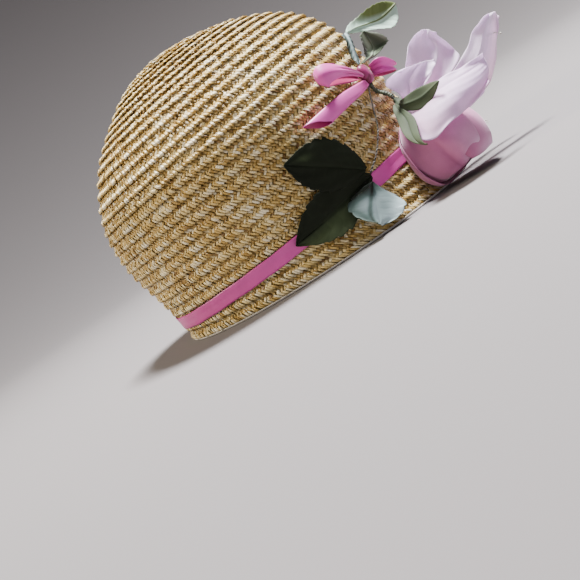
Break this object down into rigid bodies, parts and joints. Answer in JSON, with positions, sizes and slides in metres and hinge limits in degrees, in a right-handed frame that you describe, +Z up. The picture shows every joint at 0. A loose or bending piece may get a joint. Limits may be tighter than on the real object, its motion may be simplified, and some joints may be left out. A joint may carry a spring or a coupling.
{
  "type": "straw cloche hat",
  "caption": "Straw cloche hat of sewn plait rows, with a ribbon band and bow, a fabric rose with pale outer petals, and fabric leaves.",
  "frame": {"origin": "centre of the head opening, in the plane of the rim", "axes": "+Z up out of the crown, -Y to the front of the hat, -X to the wearer's right, where the trimmings are"},
  "size_m": [0.1839, 0.2784, 0.163],
  "materials": {
    "straw": "glossy natural straw plait",
    "tape": "matte woven tape",
    "ribbon": "satin ribbon",
    "stem": "wrapped green cloth",
    "wire": "dark covered wire",
    "bud": "soft deep pink cloth",
    "petal": "thin pale lilac cloth",
    "dark_leaf": "dark green velvet",
    "pale_leaf": "pale green cloth"
  },
  "bodies": {
    "root": {"crown": "straw", "brim": "straw", "rim_tape": "tape", "hat_band": "ribbon", "bow_knot": "ribbon", "bow_loop_left": "ribbon", "bow_loop_right": "ribbon", "bow_tail": "ribbon", "rose_stem": "stem", "leaf_wire": "wire", "rose_calyx": "stem", "sepal_upper": "stem", "sepal_lower": "stem", "bud_core": "bud", "bud_petal_1": "bud", "bud_petal_2": "bud", "bud_petal_3": "bud", "petal_front": "petal", "petal_tall": "petal", "petal_upper": "petal", "petal_left": "petal", "petal_back": "petal", "leaf_upper": "dark_leaf", "leaf_lower": "dark_leaf", "leaf_curled": "pale_leaf", "top_leaf_large": "pale_leaf", "top_leaf_narrow": "pale_leaf", "top_leaf_curled": "pale_leaf"}
  },
  "joints": []
}
